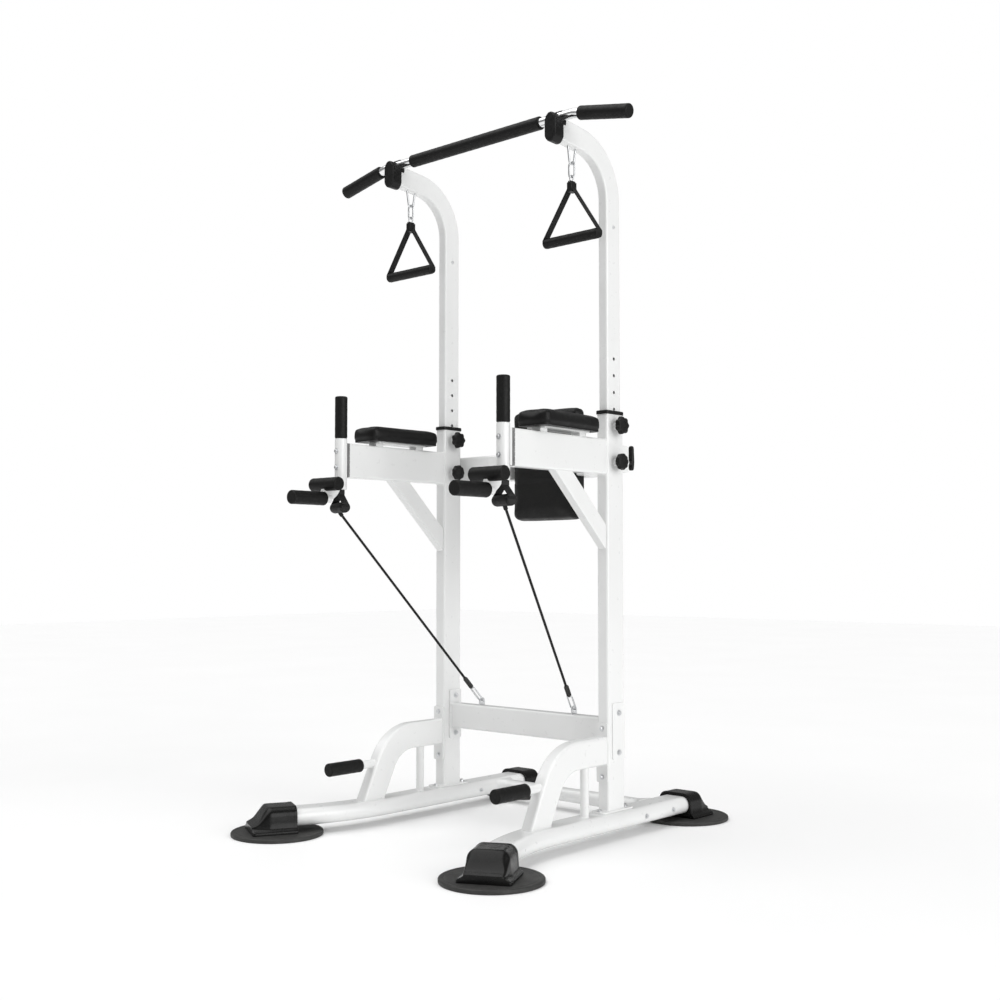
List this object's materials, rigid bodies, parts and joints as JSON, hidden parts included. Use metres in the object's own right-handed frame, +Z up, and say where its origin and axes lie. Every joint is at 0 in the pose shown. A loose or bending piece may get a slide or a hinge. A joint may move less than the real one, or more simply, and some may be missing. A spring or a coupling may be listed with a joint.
{
  "type": "power tower",
  "caption": "Free-standing pull-up and dip station: height-adjustable bar on bent uprights, padded arms and back rest, push-up grips, swinging handles and pull ropes.",
  "frame": {"origin": "on the floor, under the middle of the object's box", "axes": "+Z up, -Y towards the user's side where the arms point, +X to the right when seen from the front"},
  "size_m": [1.1704, 1.2772, 2.0921],
  "materials": {
    "white_powder_coat": "gloss",
    "polished_steel": "polished",
    "black_foam": "satin foam",
    "black_plastic": "gloss",
    "knob_plastic": "satin",
    "dark_rubber": "matte",
    "black_vinyl": "soft sheen",
    "grey_rubber": "matte",
    "black_webbing": "woven"
  },
  "bodies": {
    "stand": {"front_disc_right": "dark_rubber", "front_disc_left": "dark_rubber", "rear_disc_right": "dark_rubber", "rear_disc_left": "dark_rubber", "front_boot_right": "black_plastic", "front_boot_left": "black_plastic", "rear_boot_right": "black_plastic", "rear_boot_left": "black_plastic", "floor_rail_right": "white_powder_coat", "floor_rail_left": "white_powder_coat", "strut_right": "white_powder_coat", "strut_left": "white_powder_coat", "push_up_grip_right": "black_foam", "push_up_grip_left": "black_foam", "lower_upright_right": "white_powder_coat", "lower_upright_left": "white_powder_coat", "collar_right": "knob_plastic", "collar_left": "knob_plastic", "arm_right": "white_powder_coat", "arm_left": "white_powder_coat", "arm_saddle_right": "grey_rubber", "arm_saddle_left": "grey_rubber", "arm_post_right": "white_powder_coat", "arm_post_left": "white_powder_coat", "dip_grip_right": "black_foam", "dip_grip_left": "black_foam", "cross_roller_right": "black_foam", "cross_roller_left": "black_foam", "front_roller_right": "black_foam", "front_roller_left": "black_foam", "arm_pad_right": "black_vinyl", "arm_pad_left": "black_vinyl", "rope_clip_right": "knob_plastic", "rope_clip_left": "knob_plastic", "rope_right": "black_webbing", "rope_left": "black_webbing", "rope_handle_right": "black_webbing", "rope_handle_left": "black_webbing", "rear_frame": "white_powder_coat", "base_crossbar": "white_powder_coat", "back_frame": "white_powder_coat", "back_pad": "black_vinyl"},
    "mast": {"mast_tube_right": "white_powder_coat", "mast_tube_left": "white_powder_coat", "bar_cap_right": "knob_plastic", "bar_cap_left": "knob_plastic", "bar_foam_right": "black_foam", "bar_foam_left": "black_foam", "pull_up_bar": "polished_steel", "bar_foam_middle": "black_foam"},
    "link_right": {"handle_link_right": "polished_steel"},
    "handle_right": {"hanging_handle_right": "black_webbing"},
    "pull_knob_right": {"pull_knob_right": "knob_plastic"},
    "clamp_knob_right": {"clamp_knob_right": "knob_plastic"},
    "rear_knob_right": {"rear_knob_right": "knob_plastic"},
    "link_left": {"handle_link_left": "polished_steel"},
    "handle_left": {"hanging_handle_left": "black_webbing"},
    "pull_knob_left": {"pull_knob_left": "knob_plastic"},
    "clamp_knob_left": {"clamp_knob_left": "knob_plastic"},
    "rear_knob_left": {"rear_knob_left": "knob_plastic"}
  },
  "joints": [
    {"name": "mast_height", "type": "slide", "parent": "stand", "child": "mast", "axis": [0, 0, 1], "range_m": [-0.2, 0.1]},
    {"name": "link_swing_right", "type": "hinge", "parent": "mast", "child": "link_right", "pos_m": [0.3324, -0.05575, 1.951], "axis": [0, 1, 0], "range_deg": [-50, 50]},
    {"name": "handle_swing_right", "type": "hinge", "parent": "link_right", "child": "handle_right", "pos_m": [0.3324, -0.05575, 1.912], "axis": [1, 0, 0], "range_deg": [-75, 38]},
    {"name": "pull_knob_right", "type": "slide", "parent": "stand", "child": "pull_knob_right", "axis": [1, 0, 0], "range_m": [0, 0.01], "stiffness_N_per_m": 800},
    {"name": "clamp_knob_right", "type": "hinge", "parent": "stand", "child": "clamp_knob_right", "pos_m": [0.3324, 0.12225, 1.096], "axis": [1, 0, 0], "continuous": true},
    {"name": "rear_knob_right", "type": "hinge", "parent": "stand", "child": "rear_knob_right", "pos_m": [0.3324, 0.22925, 1.1], "axis": [0, 1, 0], "continuous": true},
    {"name": "link_swing_left", "type": "hinge", "parent": "mast", "child": "link_left", "pos_m": [-0.3324, -0.05575, 1.951], "axis": [0, 1, 0], "range_deg": [-50, 50]},
    {"name": "handle_swing_left", "type": "hinge", "parent": "link_left", "child": "handle_left", "pos_m": [-0.3324, -0.05575, 1.912], "axis": [1, 0, 0], "range_deg": [-75, 38]},
    {"name": "pull_knob_left", "type": "slide", "parent": "stand", "child": "pull_knob_left", "axis": [1, 0, 0], "range_m": [0, 0.01], "stiffness_N_per_m": 800},
    {"name": "clamp_knob_left", "type": "hinge", "parent": "stand", "child": "clamp_knob_left", "pos_m": [-0.3324, 0.12225, 1.096], "axis": [1, 0, 0], "continuous": true},
    {"name": "rear_knob_left", "type": "hinge", "parent": "stand", "child": "rear_knob_left", "pos_m": [-0.3324, 0.22925, 1.1], "axis": [0, 1, 0], "continuous": true}
  ]
}
